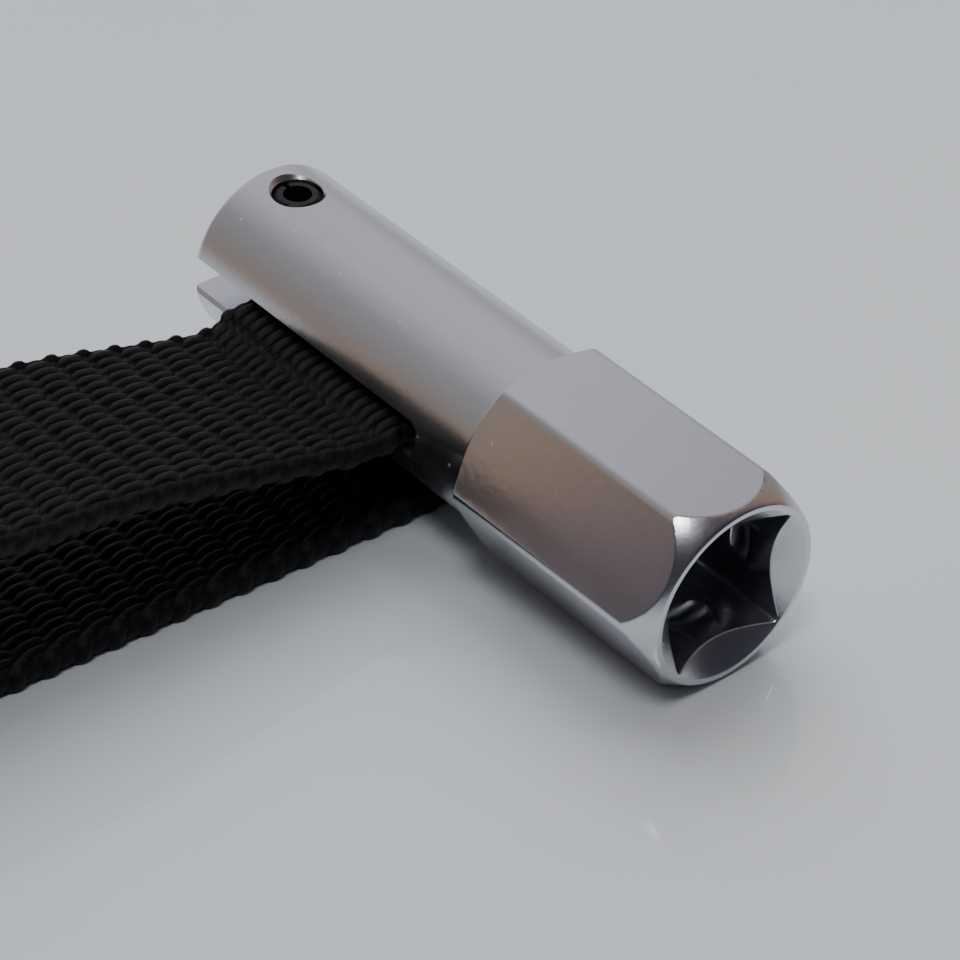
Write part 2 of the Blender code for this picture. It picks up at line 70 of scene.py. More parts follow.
CAMERA_STAND = Vector((163.0, -178.3, 200.86)) * MM
CAMERA_RIGHT = Vector((0.642539, 0.765140, 0.041285))
CAMERA_UP = Vector((-0.494480, 0.372884, 0.785142))
camera_turn = Matrix((CAMERA_RIGHT, CAMERA_UP, CAMERA_RIGHT.cross(CAMERA_UP))).transposed()
camera_data = bpy.data.cameras.new("camera")
camera_data.sensor_width = 36.0
camera_data.lens = 128.354
camera_data.clip_start = 0.01
camera = bpy.data.objects.new("camera", camera_data)
bpy.context.scene.collection.objects.link(camera)
camera.matrix_world = BAR_PLACE @ Matrix.Translation(CAMERA_STAND) @ camera_turn.to_4x4()
bpy.context.scene.camera = camera

# ---------------------------------------------------------------- bench and studio light
# A pale polished bench under soft light. The room is pale towards its window and dark and
# brown away from it, which is what the plated flats mirror.


def new_finish(name, colour, roughness, metallic=0.0):
    """A material with a Principled shader, and the tree that its pattern goes into."""
    finish = bpy.data.materials.new(name)
    finish.use_nodes = True
    tree = finish.node_tree
    shader = tree.nodes["Principled BSDF"]
    shader.inputs["Base Color"].default_value = (*colour, 1.0)
    shader.inputs["Roughness"].default_value = roughness
    shader.inputs["Metallic"].default_value = metallic
    return finish, tree, shader


def add_node(tree, kind, **settings):
    node = tree.nodes.new(kind)
    for name, value in settings.items():
        if name in node.inputs:
            node.inputs[name].default_value = value
        else:
            setattr(node, name, value)
    return node


def ramp(tree, source, stops):
    """A colour ramp through (position, (red, green, blue)) stops."""
    node = tree.nodes.new("ShaderNodeValToRGB")
    elements = node.color_ramp.elements
    while len(elements) < len(stops):
        elements.new(0.5)
    for element, (position, colour) in zip(elements, stops):
        element.position = position
        element.color = (*colour, 1.0)
    tree.links.new(source, node.inputs[0])
    return node.outputs[0]


def band_of(tree, source, low, high, out_low=0.0, out_high=1.0):
    """Rescale a value from one range to another, clamped."""
    node = tree.nodes.new("ShaderNodeMapRange")
    tree.links.new(source, node.inputs[0])
    for index, value in enumerate((low, high, out_low, out_high), start=1):
        node.inputs[index].default_value = value
    return node.outputs[0]


def add_bump(tree, shader, height, strength, distance):
    bump = tree.nodes.new("ShaderNodeBump")
    bump.inputs["Strength"].default_value = strength
    bump.inputs["Distance"].default_value = distance
    tree.links.new(height, bump.inputs["Height"])
    tree.links.new(bump.outputs[0], shader.inputs["Normal"])


bm = bmesh.new()
bmesh.ops.create_grid(bm, x_segments=2, y_segments=2, size=2.5)
bench_mesh = bpy.data.meshes.new("bench")
bm.to_mesh(bench_mesh)
bm.free()
bench = bpy.data.objects.new("bench", bench_mesh)
bpy.context.scene.collection.objects.link(bench)
bench_finish, tree, shader = new_finish("bench top", (0.70, 0.75, 0.79), 0.06)
shader.inputs["Specular IOR Level"].default_value = 0.5
place = add_node(tree, "ShaderNodeTexCoord").outputs["Object"]
cloud = add_node(tree, "ShaderNodeTexNoise", Scale=9.0, Detail=3.0)
tree.links.new(place, cloud.inputs["Vector"])
colour = ramp(tree, cloud.outputs[0], [(0.35, (0.69, 0.745, 0.79)), (0.65, (0.72, 0.77, 0.81))])
tree.links.new(colour, shader.inputs["Base Color"])
bench_mesh.materials.append(bench_finish)

world = bpy.data.worlds.new("room")
bpy.context.scene.world = world
world.use_nodes = True
tree = world.node_tree
place = add_node(tree, "ShaderNodeTexCoord").outputs["Generated"]
WINDOW = (-0.8, 0.35, 0.5)
facing = add_node(tree, "ShaderNodeVectorMath", operation="DOT_PRODUCT")
facing.inputs[1].default_value = WINDOW
tree.links.new(place, facing.inputs[0])
ROOM = [
    (0.0, (0.05, 0.05, 0.06)),
    (0.45, (0.03, 0.03, 0.04)),
    (0.55, (0.10, 0.09, 0.10)),
    (0.60, (0.20, 0.155, 0.165)),
    (0.65, (0.21, 0.16, 0.17)),
    (0.673, (0.42, 0.26, 0.15)),
    (0.70, (0.36, 0.27, 0.20)),
    (0.74, (0.30, 0.285, 0.28)),
    (0.87, (0.34, 0.34, 0.345)),
    (0.92, (0.50, 0.50, 0.53)),
    (0.98, (0.66, 0.665, 0.73)),
]
share = band_of(tree, facing.outputs["Value"], -1.0, 1.0)
background = tree.nodes["Background"]
tree.links.new(ramp(tree, share, ROOM), background.inputs["Color"])
background.inputs["Strength"].default_value = 1.0


def soft_lamp(name, place, aim, size, power, mirrored):
    lamp_data = bpy.data.lights.new(name, "AREA")
    lamp_data.shape = "SQUARE"
    lamp_data.size = size
    lamp_data.energy = power
    lamp = bpy.data.objects.new(name, lamp_data)
    bpy.context.scene.collection.objects.link(lamp)
    turn = (Vector(place) - Vector(aim)).to_track_quat("Z", "Y").to_matrix().to_4x4()
    lamp.matrix_world = Matrix.Translation(place) @ turn
    lamp.visible_glossy = mirrored


soft_lamp("window_light", (-0.55, 0.6, 1.1), (0.0, 0.05, 0.0), 1.4, 13.0, False)
soft_lamp("ceiling_lamp", (0.23, -0.20, 0.95), (0.0, 0.1, 0.0), 0.28, 3.0, True)

# ---------------------------------------------------------------- drive bar
# One steel bar: hexagon stock with a 1/2 inch female square broached in its end, turned
# down behind to a round bar, and slit lengthwise into two prongs. Chrome plated all over.

HALF_FLATS = 10.0 * MM
HEX_LENGTH = 28.3 * MM
HEX_EDGE_RADIUS = 1.0 * MM
FACE_RADIUS = 9.6 * MM
NOSE_LENGTH = 4.4 * MM
NOSE_BULGE = 0.3 * MM
SHOULDER_LENGTH = 1.7 * MM
SQUARE = 12.85 * MM
SQUARE_DEPTH = 17.0 * MM
SQUARE_CORNER = 0.6 * MM
LEAD_IN_RADIUS = 9.1 * MM
LEAD_IN_ANGLE = math.radians(52.0)
DRILL_POINT = 3.0 * MM
DETENT_DEPTH = 6.2 * MM
DETENT_WIDTH = 2.6 * MM
DETENT_RECESS = 0.5 * MM
BAR_RADIUS = 9.5 * MM
BAR_LENGTH = 70.9 * MM
BAR_END_RADIUS = 0.9 * MM
SLOT_WIDTH = 3.6 * MM
SLOT_FLOOR = -1.4 * MM
SLOT_END_X = -34.9 * MM
SLOT_EDGE = 0.35 * MM
SLOT_END_CORNER = 0.8 * MM
PIN_X = -65.7 * MM
PIN_HOLE_RADIUS = 2.65 * MM
PIN_COUNTERSINK = 0.5 * MM
EDGE_BREAK = 0.14 * MM


def as_object(name, bm, finish=None):
    """Clean a mesh, close it and give it an object."""
    bmesh.ops.remove_doubles(bm, verts=bm.verts, dist=0.0005 * MM)
    bmesh.ops.recalc_face_normals(bm, faces=bm.faces)
    mesh = bpy.data.meshes.new(name)
    bm.to_mesh(mesh)
    bm.free()
    mesh.shade_smooth()
    if finish:
        mesh.materials.append(finish)
    piece = bpy.data.objects.new(name, mesh)
    bpy.context.scene.collection.objects.link(piece)
    return piece


def apply_modifiers(piece):
    graph = bpy.context.evaluated_depsgraph_get()
    mesh = bpy.data.meshes.new_from_object(piece.evaluated_get(graph))
    piece.modifiers.clear()
    old = piece.data
    piece.data = mesh
    mesh.name = piece.name
    bpy.data.meshes.remove(old)


def machine(piece, operation, tool):
    """Cut a tool's shape from a piece, or join it on."""
    step = piece.modifiers.new("machining", "BOOLEAN")
    step.operation = operation
    step.solver = "EXACT"
    step.object = tool
    apply_modifiers(piece)
    bpy.data.objects.remove(tool)


def turned(outline, segments):
    """Turn an outline of (x, radius) points once round the X axis."""
    bm = bmesh.new()
    verts = [bm.verts.new((x, 0.0, radius)) for x, radius in outline]
    edges = [bm.edges.new(pair) for pair in zip(verts, verts[1:])]
    bmesh.ops.spin(
        bm,
        geom=verts + edges,
        cent=(0.0, 0.0, 0.0),
        axis=(1.0, 0.0, 0.0),
        angle=math.tau,
        steps=segments,
        use_merge=True,
    )
    return bm


def arc(centre, radius, start, end, steps):
    angles = [start + (end - start) * step / steps for step in range(steps + 1)]
    return [(centre[0] + radius * math.cos(a), centre[1] + radius * math.sin(a)) for a in angles]


def prism(section, start, end):
    """Extrude a closed (y, z) section along X."""
    bm = bmesh.new()
    face = bm.faces.new([bm.verts.new((start, y, z)) for y, z in section])
    lifted = bmesh.ops.extrude_face_region(bm, geom=[face])["geom"]
    moved = [item for item in lifted if isinstance(item, bmesh.types.BMVert)]
    bmesh.ops.translate(bm, vec=(end - start, 0.0, 0.0), verts=moved)
    return bm


def rounded_box(low, high, radius, direction):
    """A box whose edges along one direction (0, 1 or 2) are rounded."""
    bm = bmesh.new()
    bmesh.ops.create_cube(bm, size=1.0)
    bmesh.ops.scale(bm, vec=Vector(high) - Vector(low), verts=bm.verts)
    bmesh.ops.translate(bm, vec=(Vector(high) + Vector(low)) / 2, verts=bm.verts)
    long_edges = [
        e for e in bm.edges if abs(e.verts[0].co[direction] - e.verts[1].co[direction]) > MM
    ]
    bmesh.ops.bevel(
        bm, geom=long_edges, offset=radius, affect="EDGES", segments=5, profile=0.5, material=-1
    )
    return bm


def hexagon_bar():
    corner = HALF_FLATS / math.cos(math.pi / 6)
    bm = prism(arc((0.0, 0.0), corner, 0.0, math.tau, 6)[:-1], 6.0 * MM, -HEX_LENGTH - 2.0 * MM)
    bmesh.ops.bevel(
        bm,
        geom=[e for e in bm.edges if abs(e.verts[1].co.x - e.verts[0].co.x) > MM],
        offset=HEX_EDGE_RADIUS * math.tan(math.pi / 6),
        affect="EDGES",
        segments=6,
        profile=0.5,
        material=-1,
    )
    return bm


def lathe_ends():
    """What the lathe leaves of the hexagon: a domed nose and a sloped shoulder."""
    outer = HALF_FLATS / math.cos(math.pi / 6) + 0.2 * MM
    middle = (-NOSE_LENGTH / 2 + NOSE_BULGE, (FACE_RADIUS + outer) / 2 + NOSE_BULGE)
    outline = [(0.0, 0.0)]
    for step in range(13):
        t = step / 12
        x = 2.0 * t * (1.0 - t) * middle[0] - t * t * NOSE_LENGTH
        radius = (1.0 - t) ** 2 * FACE_RADIUS + 2.0 * t * (1.0 - t) * middle[1] + t * t * outer
        outline.append((x, radius))
    outline.append((-HEX_LENGTH + SHOULDER_LENGTH, outer))
    outline.append((-HEX_LENGTH, BAR_RADIUS - 0.2 * MM))
    outline.append((-HEX_LENGTH, 0.0))
    return turned(outline, 144)


def round_shank():
    inside = -HEX_LENGTH + 6.0 * MM
    corner = (-BAR_LENGTH + BAR_END_RADIUS, BAR_RADIUS - BAR_END_RADIUS)
    outline = [(inside, 0.0), (inside, BAR_RADIUS)]
    outline += arc(corner, BAR_END_RADIUS, math.pi / 2, math.pi, 6)
    outline.append((-BAR_LENGTH, 0.0))
    return turned(outline, 144)


def lead_in():
    start, deep, slope = 1.0 * MM, 5.0 * MM, math.tan(LEAD_IN_ANGLE)
    outline = [(start, 0.0), (start, LEAD_IN_RADIUS + start * slope)]
    outline += [(-deep, LEAD_IN_RADIUS - deep * slope), (-deep, 0.0)]
    return turned(outline, 144)


def drilled_end():
    radius = SQUARE / 2 - 0.3 * MM
    bottom = -SQUARE_DEPTH - DRILL_POINT
    outline = [(-SQUARE_DEPTH + MM, 0.0), (-SQUARE_DEPTH + MM, radius)]
    return turned(outline + [(bottom + 0.5 * DRILL_POINT, radius), (bottom, 0.0)], 64)


def ball_groove():
    """The turned groove for the ratchet's ball: it only breaks the middle of each wall."""
    half = DETENT_WIDTH / 2
    wall = SQUARE / 2
    outline = [(-DETENT_DEPTH + half, wall - MM)]
    for step in range(9):
        angle = math.pi * step / 8
        depth = -DETENT_DEPTH + half * math.cos(angle)
        outline.append((depth, wall + DETENT_RECESS * math.sin(angle)))
    outline += [(-DETENT_DEPTH - half, wall - MM), outline[0]]
    return turned(outline, 96)


def slot():
    low = (-BAR_LENGTH - 4.0 * SLOT_WIDTH, -2.0 * BAR_RADIUS, SLOT_FLOOR)
    high = (SLOT_END_X, 2.0 * BAR_RADIUS, SLOT_FLOOR + SLOT_WIDTH)
    return rounded_box(low, high, SLOT_END_CORNER, 1)


def slot_edge(side):
    half = SLOT_WIDTH / 2
    middle = SLOT_FLOOR + half
    break_y = math.sqrt(BAR_RADIUS**2 - half**2) - SLOT_EDGE
    clear = SLOT_EDGE + 2.0 * MM
    section = [
        (side * (break_y - half), middle),
        (side * (break_y + clear), middle + half + clear),
        (side * (break_y + clear), middle - half - clear),
    ]
    return prism(section, -BAR_LENGTH - 2.0 * MM, SLOT_END_X - SLOT_END_CORNER)


def pin_hole():
    """The pin's hole through both prongs, countersunk where it comes out."""
    mouth = BAR_RADIUS - PIN_COUNTERSINK
    wide = PIN_HOLE_RADIUS + 2.0 * PIN_COUNTERSINK
    top = mouth + 2.0 * PIN_COUNTERSINK
    outline = [(top, 0.0), (top, wide), (mouth, PIN_HOLE_RADIUS)]
    outline += [(-x, radius) for x, radius in reversed(outline)]
    bm = turned(outline, 96)
    quarter_turn = Matrix.Rotation(-math.pi / 2, 3, "Y")
    bmesh.ops.rotate(bm, cent=(0, 0, 0), matrix=quarter_turn, verts=bm.verts)
    bmesh.ops.translate(bm, vec=(PIN_X, 0.0, 0.0), verts=bm.verts)
    return bm


def chrome_plate():
    """Bright plating over ground steel: faint orange peel, fine pits and a little dust."""
    finish, tree, shader = new_finish("chrome plate", (0.66, 0.66, 0.70), 0.16, 1.0)
    place = add_node(tree, "ShaderNodeTexCoord").outputs["Object"]
    peel = add_node(tree, "ShaderNodeTexNoise", Scale=1100.0, Detail=5.0)
    tree.links.new(place, peel.inputs["Vector"])
    smear = add_node(tree, "ShaderNodeTexNoise", Scale=60.0, Detail=3.0)
    tree.links.new(place, smear.inputs["Vector"])
    roughness = band_of(tree, smear.outputs[0], 0.3, 0.7, 0.2, 0.29)
    dust = add_node(tree, "ShaderNodeTexVoronoi", Scale=620.0)
    tree.links.new(place, dust.inputs["Vector"])
    chance = add_node(tree, "ShaderNodeSeparateColor")
    tree.links.new(dust.outputs["Color"], chance.inputs[0])
    rare = band_of(tree, chance.outputs[0], 0.86, 0.865)
    near = band_of(tree, dust.outputs["Distance"], 0.05, 0.13, 1.0, 0.0)
    speck = add_node(tree, "ShaderNodeMath", operation="MULTIPLY")
    tree.links.new(rare, speck.inputs[0])
    tree.links.new(near, speck.inputs[1])
    colour = ramp(tree, speck.outputs[0], [(0.0, (0.66, 0.66, 0.70)), (1.0, (1.0, 1.0, 1.0))])
    tree.links.new(colour, shader.inputs["Base Color"])
    rough = add_node(tree, "ShaderNodeMath", operation="MAXIMUM")
    tree.links.new(roughness, rough.inputs[0])
    dusty = band_of(tree, speck.outputs[0], 0.0, 1.0, 0.0, 0.75)
    tree.links.new(dusty, rough.inputs[1])
    tree.links.new(rough.outputs[0], shader.inputs["Roughness"])
    add_bump(tree, shader, peel.outputs[0], 0.3, 0.00006)
    return finish


chrome = chrome_plate()
drive_bar = as_object("drive_bar_plated", hexagon_bar(), chrome)
machine(drive_bar, "INTERSECT", as_object("lathe_ends", lathe_ends()))
machine(drive_bar, "UNION", as_object("round_shank", round_shank()))
for cutter in (
    rounded_box(
        (-SQUARE_DEPTH, -SQUARE / 2, -SQUARE / 2),
        (2.0 * MM, SQUARE / 2, SQUARE / 2),
        SQUARE_CORNER,
        0,
    ),
    lead_in(),
    drilled_end(),
    ball_groove(),
    slot(),
    slot_edge(-1.0),
    slot_edge(1.0),
    pin_hole(),
):
    machine(drive_bar, "DIFFERENCE", as_object("cutter", cutter))
bm = bmesh.new()
bm.from_mesh(drive_bar.data)
bmesh.ops.remove_doubles(bm, verts=bm.verts, dist=0.02 * MM)
bmesh.ops.dissolve_limit(
    bm, angle_limit=math.radians(0.5), use_dissolve_boundaries=False, verts=bm.verts, edges=bm.edges
)
head_edges = [
    e
    for e in bm.edges
    if len(e.link_faces) == 2
    and e.calc_face_angle() > math.radians(20.0)
    and min(v.co.x for v in e.verts) > -HEX_LENGTH - 0.1 * MM
    and (
        min(v.co.x for v in e.verts) > -DETENT_DEPTH + DETENT_WIDTH
        or e.verts[0].co.yz.length > HALF_FLATS * 0.9
    )
]
bmesh.ops.bevel(
    bm,
    geom=head_edges,
    offset=EDGE_BREAK,
    affect="EDGES",
    segments=3,
    profile=0.5,
    material=-1,
    clamp_overlap=False,
)
bm.to_mesh(drive_bar.data)
bm.free()
drive_bar.data.transform(BAR_PLACE)
drive_bar.data.shade_smooth()
drive_bar.data.set_sharp_from_angle(angle=math.radians(32.0))
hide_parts("drive_bar")
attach(drive_bar, "bar")

# ---------------------------------------------------------------- spring pin
# A rolled tube of spring steel with a slit down its side, pressed through both prongs
# behind the webbing so that the webbing can't slide off. Black oxide finish.

PIN_RADIUS = 2.5 * MM
PIN_WALL = 1.0 * MM
PIN_LENGTH = 18.0 * MM
PIN_CHAMFER = 0.4 * MM
PIN_SLIT = 0.8 * MM


def rolled_pin():
    """The wall's section turned nearly once round, so that the slit stays open."""
    half, inner = PIN_LENGTH / 2, PIN_RADIUS - PIN_WALL
    slit = 2.0 * math.asin(PIN_SLIT / 2 / PIN_RADIUS)
    bm = bmesh.new()
    outline = [
        (inner, -half),
        (PIN_RADIUS - PIN_CHAMFER, -half),
        (PIN_RADIUS, -half + PIN_CHAMFER),
        (PIN_RADIUS, half - PIN_CHAMFER),
        (PIN_RADIUS - PIN_CHAMFER, half),
        (inner, half),
    ]
    face = bm.faces.new([bm.verts.new((radius, 0.0, z)) for radius, z in outline])
    bmesh.ops.spin(
        bm,
        geom=[face],
        cent=(0.0, 0.0, 0.0),
        axis=(0.0, 0.0, 1.0),
        angle=math.tau - slit,
        steps=72,
        use_merge=False,
    )
    slit_turn = Matrix.Rotation(math.pi + slit / 2, 3, "Z")
    bmesh.ops.rotate(bm, cent=(0, 0, 0), matrix=slit_turn, verts=bm.verts)
    bmesh.ops.translate(bm, vec=(PIN_X, 0.0, 0.0), verts=bm.verts)
    return bm


def black_oxide():
    finish, tree, shader = new_finish("black oxide", (0.02, 0.02, 0.022), 0.4, 0.6)
    place = add_node(tree, "ShaderNodeTexCoord").outputs["Object"]
    grain = add_node(tree, "ShaderNodeTexNoise", Scale=1500.0, Detail=4.0)
    tree.links.new(place, grain.inputs["Vector"])
    tree.links.new(band_of(tree, grain.outputs[0], 0.3, 0.7, 0.3, 0.55), shader.inputs["Roughness"])
    oxide = [(0.35, (0.012, 0.012, 0.014)), (0.7, (0.04, 0.038, 0.036))]
    colour = ramp(tree, grain.outputs[0], oxide)
    tree.links.new(colour, shader.inputs["Base Color"])
    add_bump(tree, shader, grain.outputs[0], 0.2, 0.00003)
    return finish


spring_pin = as_object("spring_pin_rolled", rolled_pin(), black_oxide())
spring_pin.data.transform(BAR_PLACE)
spring_pin.data.set_sharp_from_angle(angle=math.radians(32.0))
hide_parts("spring_pin")
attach(spring_pin, "bar")

# ---------------------------------------------------------------- webbing loop
# One strip of heavy black webbing. It runs out along the bench, round its far end, back
# over itself, through the slot and round the lower prong. Ribs of twisted warp yarn stand
# up in rows between thin weft yarns, and the weft turns back at each selvedge.

STRAP_WIDTH = 26.5 * MM
STRAP_THICKNESS = 2.6 * MM
GAP = 0.3 * MM
PRONG_CORNER = 0.5 * MM
LOOP_REACH = 246.0 * MM
CROWN_HEIGHT = 33.0 * MM
NOSE_STRETCH = 1.25
UNTWIST_REACH = 7.0 * MM
SETTLE_REACH = 30.0 * MM
COUNTER_LEAN = math.radians(1.0)
LAY_ANGLE = math.radians(3.7)
BIGHT_SHIFT = -2.3 * MM
MOUTH_CURVE = (
    (4.5 * MM, -0.9 * MM),
    (12.0 * MM, 0.4 * MM),
    (24.0 * MM, 3.0 * MM),
    (33.0 * MM, 4.1 * MM),
    (46.0 * MM, 5.1 * MM),
)
STRAP_SLOT_X = PIN_X + PIN_RADIUS + GAP + STRAP_WIDTH / 2
SLOT_MIDDLE = SLOT_FLOOR + GAP + STRAP_THICKNESS / 2
BENCH_Z = -bar_origin.z
NOSE_HALF_HEIGHT = (CROWN_HEIGHT - STRAP_THICKNESS) / 2
NOSE_HALF_LENGTH = NOSE_HALF_HEIGHT * NOSE_STRETCH
CROWN_Y = -LOOP_REACH + STRAP_THICKNESS / 2 + NOSE_HALF_LENGTH


def smoothstep(value):
    value = min(max(value, 0.0), 1.0)
    return value * value * (3.0 - 2.0 * value)


def lean_at(y):
    """The webbing leans with the bar beside it, and lies level further out."""
    return PITCH * (1.0 - smoothstep((-y - BAR_RADIUS) / UNTWIST_REACH))


def upper_lean_at(y):
    distance = -y - BAR_RADIUS
    rolled = smoothstep(distance / UNTWIST_REACH) * (1.0 - smoothstep(distance / SETTLE_REACH))
    return lean_at(y) - COUNTER_LEAN * rolled


def across_at(y, side):
    """The middle of the webbing across the tool: the loop lies a little askew."""
    middle = STRAP_SLOT_X + BIGHT_SHIFT / 2 + (y + BAR_RADIUS) * math.tan(LAY_ANGLE)
    closing = 1.0 - smoothstep(-y / LOOP_REACH)
    return middle + side * closing * BIGHT_SHIFT / 2


def lower_run(steps=160):
    """Out along the bench: (x, y, z, lean) of the webbing's middle."""
    places = []
    for step in range(steps):
        y = CROWN_Y * step / steps
        lean = lean_at(y)
        z = BENCH_Z + STRAP_THICKNESS / 2 + STRAP_WIDTH / 2 * math.sin(lean)
        places.append((across_at(y, 1), y, z, lean))
    return places


def far_end(steps=64):
    places = []
    for step in range(steps):
        angle = math.pi * step / steps
        y = CROWN_Y - NOSE_HALF_LENGTH * math.sin(angle)
        z = BENCH_Z + CROWN_HEIGHT / 2 - NOSE_HALF_HEIGHT * math.cos(angle)
        places.append((across_at(y, math.cos(angle)), y, z, 0.0))
    return places


def upper_run(steps=24):
    """A smooth curve (Catmull-Rom) from the crown back to the slot's mouth."""
    in_slot = (TO_BENCH @ Vector((STRAP_SLOT_X, -BAR_RADIUS, SLOT_MIDDLE))).z
    crown = BENCH_Z + CROWN_HEIGHT - STRAP_THICKNESS / 2
    guides = [(-BAR_RADIUS + 6.0 * MM, in_slot), (-BAR_RADIUS, in_slot)]
    guides += [(-BAR_RADIUS - distance, in_slot + rise) for distance, rise in MOUTH_CURVE]
    last_y, last_z = guides[-1]
    for share, climbed in ((0.4, 0.66), (0.74, 0.94), (1.0, 1.0)):
        guides.append((last_y + share * (CROWN_Y - last_y), last_z + climbed * (crown - last_z)))
    guides.append((CROWN_Y - 20.0 * MM, crown - 2.0 * MM))
    curve = []
    for four in zip(guides, guides[1:], guides[2:], guides[3:]):
        for step in range(steps):
            t = step / steps
            weights = (
                -0.5 * t + t * t - 0.5 * t**3,
                1.0 - 2.5 * t * t + 1.5 * t**3,
                0.5 * t + 2.0 * t * t - 1.5 * t**3,
                -0.5 * t * t + 0.5 * t**3,
            )
            curve.append([sum(w * p[i] for w, p in zip(weights, four)) for i in range(2)])
    curve.append(guides[-2])
    return [(across_at(y, -1), y, z, upper_lean_at(y)) for y, z in reversed(curve)]


def bight():
    """Through the slot, round the lower prong and back under it."""
    bend = PRONG_CORNER + GAP + STRAP_THICKNESS / 2
    wrap = BAR_RADIUS + GAP + STRAP_THICKNESS / 2
    corner_z = SLOT_FLOOR - PRONG_CORNER
    corner_y = math.sqrt((BAR_RADIUS - PRONG_CORNER) ** 2 - corner_z**2)
    leave = math.atan2(corner_z, corner_y)
    section = [(-BAR_RADIUS + corner_y * step / 24, SLOT_MIDDLE) for step in range(4, 44)]
    section += arc((corner_y, corner_z), bend, math.pi / 2, leave, 24)
    section += arc((0.0, 0.0), wrap, leave, -math.pi / 2, 48)[1:-1]
    lengths = [0.0]
    for here, there in zip(section, section[1:]):
        lengths.append(lengths[-1] + math.dist(here, there))
    in_slot = lengths[36]
    places = []
    for (y, z), length in zip(section, lengths):
        side = -1.0 + 2.0 * smoothstep((length - in_slot) / (lengths[-1] - in_slot))
        place = TO_BENCH @ Vector((across_at(y, side), y, z))
        places.append((*place, PITCH))
    return places


def whole_route():
    """The closed loop from the crown through the slot and back to the crown, every 0.1 mm."""
    corners = np.array(upper_run() + bight() + lower_run() + far_end() + upper_run()[:1])
    steps = np.linalg.norm(np.diff(corners[:, :3], axis=0), axis=1)
    corners = corners[np.concatenate([[True], steps > 1e-6])]
    steps = np.linalg.norm(np.diff(corners[:, :3], axis=0), axis=1)
    lengths = np.concatenate([[0.0], np.cumsum(steps)])
    even = np.arange(0.0, lengths[-1], 0.1 * MM)
    route = np.stack([np.interp(even, lengths, corners[:, i]) for i in range(4)], axis=1)
    soft = np.hanning(31) / np.hanning(31).sum()
    ends = np.concatenate([route[-15:], route, route[:15]])
    route = np.stack([np.convolve(ends[:, i], soft, mode="valid") for i in range(4)], axis=1)
    return even, route


ROUTE_LENGTHS, ROUTE = whole_route()
LOOP_LENGTH = ROUTE_LENGTHS[-1] + 0.1 * MM
COLUMNS = 18
COLUMN = (STRAP_WIDTH - 2.0 * MM) / COLUMNS
ROW = 3.6 * MM
ROWS = round(LOOP_LENGTH / ROW)
ROW = LOOP_LENGTH / ROWS
SELVEDGE = 1.0 * MM
CREASE_SAMPLES = (0.0, 0.05, 0.22, 0.5, 0.78, 0.95)
SAMPLE_ALONG = ROW / 9


def strip_outline():
    """Round the webbing's section: (across, up, outward across, outward up, place, is edge)."""
    flat = STRAP_WIDTH / 2 - SELVEDGE
    half = STRAP_THICKNESS / 2
    within = np.tile(CREASE_SAMPLES, COLUMNS) + np.repeat(np.arange(COLUMNS), len(CREASE_SAMPLES))
    face = flat - within / COLUMNS * 2.0 * flat
    turn = np.linspace(math.pi / 2, -math.pi / 2, 9)[:-1]
    zeros, ones = np.zeros_like(face), np.ones_like(face)
    top = np.stack([face, ones * half, zeros, ones, face, zeros], axis=1)
    left = np.stack(
        [-flat - SELVEDGE * np.cos(turn), half * np.sin(turn), -np.cos(turn), np.sin(turn), half * turn, turn * 0 + 1],
        axis=1,
    )
    bottom = np.stack([-face, -ones * half, zeros, -ones, -face, zeros], axis=1)
    right = left * np.array([-1, -1, -1, -1, 1, 1])
    return np.concatenate([top, left, bottom, right])


def scatter(column, row):
    """A fixed number from 0 to 1 for each cell of the weave."""
    value = np.sin(column * 12.9898 + row * 78.233) * 43758.5453
    return value - np.floor(value)


def rib_relief(u, v):
    """Height of the weave on a face, in metres: slanted ribs in rows, with the weft between."""
    column = u / COLUMN + COLUMNS / 2 + 0.001
    k = np.floor(column)
    du = column - k - 0.5
    drift = (scatter(k, 3.0) - 0.5) * 0.5 * MM
    row = (v + drift + 0.9 * du * COLUMN) / ROW
    j = np.floor(row)
    dv = (row - j - 0.5) * ROW
    vary = scatter(k, np.mod(j, ROWS))
    rounded = np.sqrt(np.clip(1.0 - (1.98 * du) ** 2, 0.0, 1.0))
    reach = (1.42 + 0.16 * vary) * MM
    tapered = np.sqrt(np.clip(1.0 - (np.abs(dv) / reach) ** 2.6, 0.0, 1.0))
    rib = rounded * tapered * (0.9 + 0.2 * scatter(j, k + 7.0))
    from_weft = ROW / 2 - np.abs(dv)
    weft = np.exp(-((from_weft / (0.24 * MM)) ** 2)) * (0.75 + 0.25 * np.cos(math.tau * du))
    height = np.maximum(0.68 * MM * rib, 0.31 * MM * weft) - 0.46 * MM
    return height, rib, weft


def selvedge_relief(turn, v):
    """The weft's loops along the edge: a large one at each row of ribs, then a small one."""
    half_row = ROW / 2
    row = (v + 0.35 * turn) / half_row
    j = np.floor(row)
    dv = row - j - 0.5
    large = np.where(np.mod(j, 2) < 0.5, 1.0, 0.45)
    loop = np.sqrt(np.clip(1.0 - (2.0 * dv) ** 2, 0.0, 1.0))
    # The third value is the edge loops' share of the painted weft highlight.
    return 0.55 * MM * loop * large - 0.25 * MM, loop, 0.3 * large


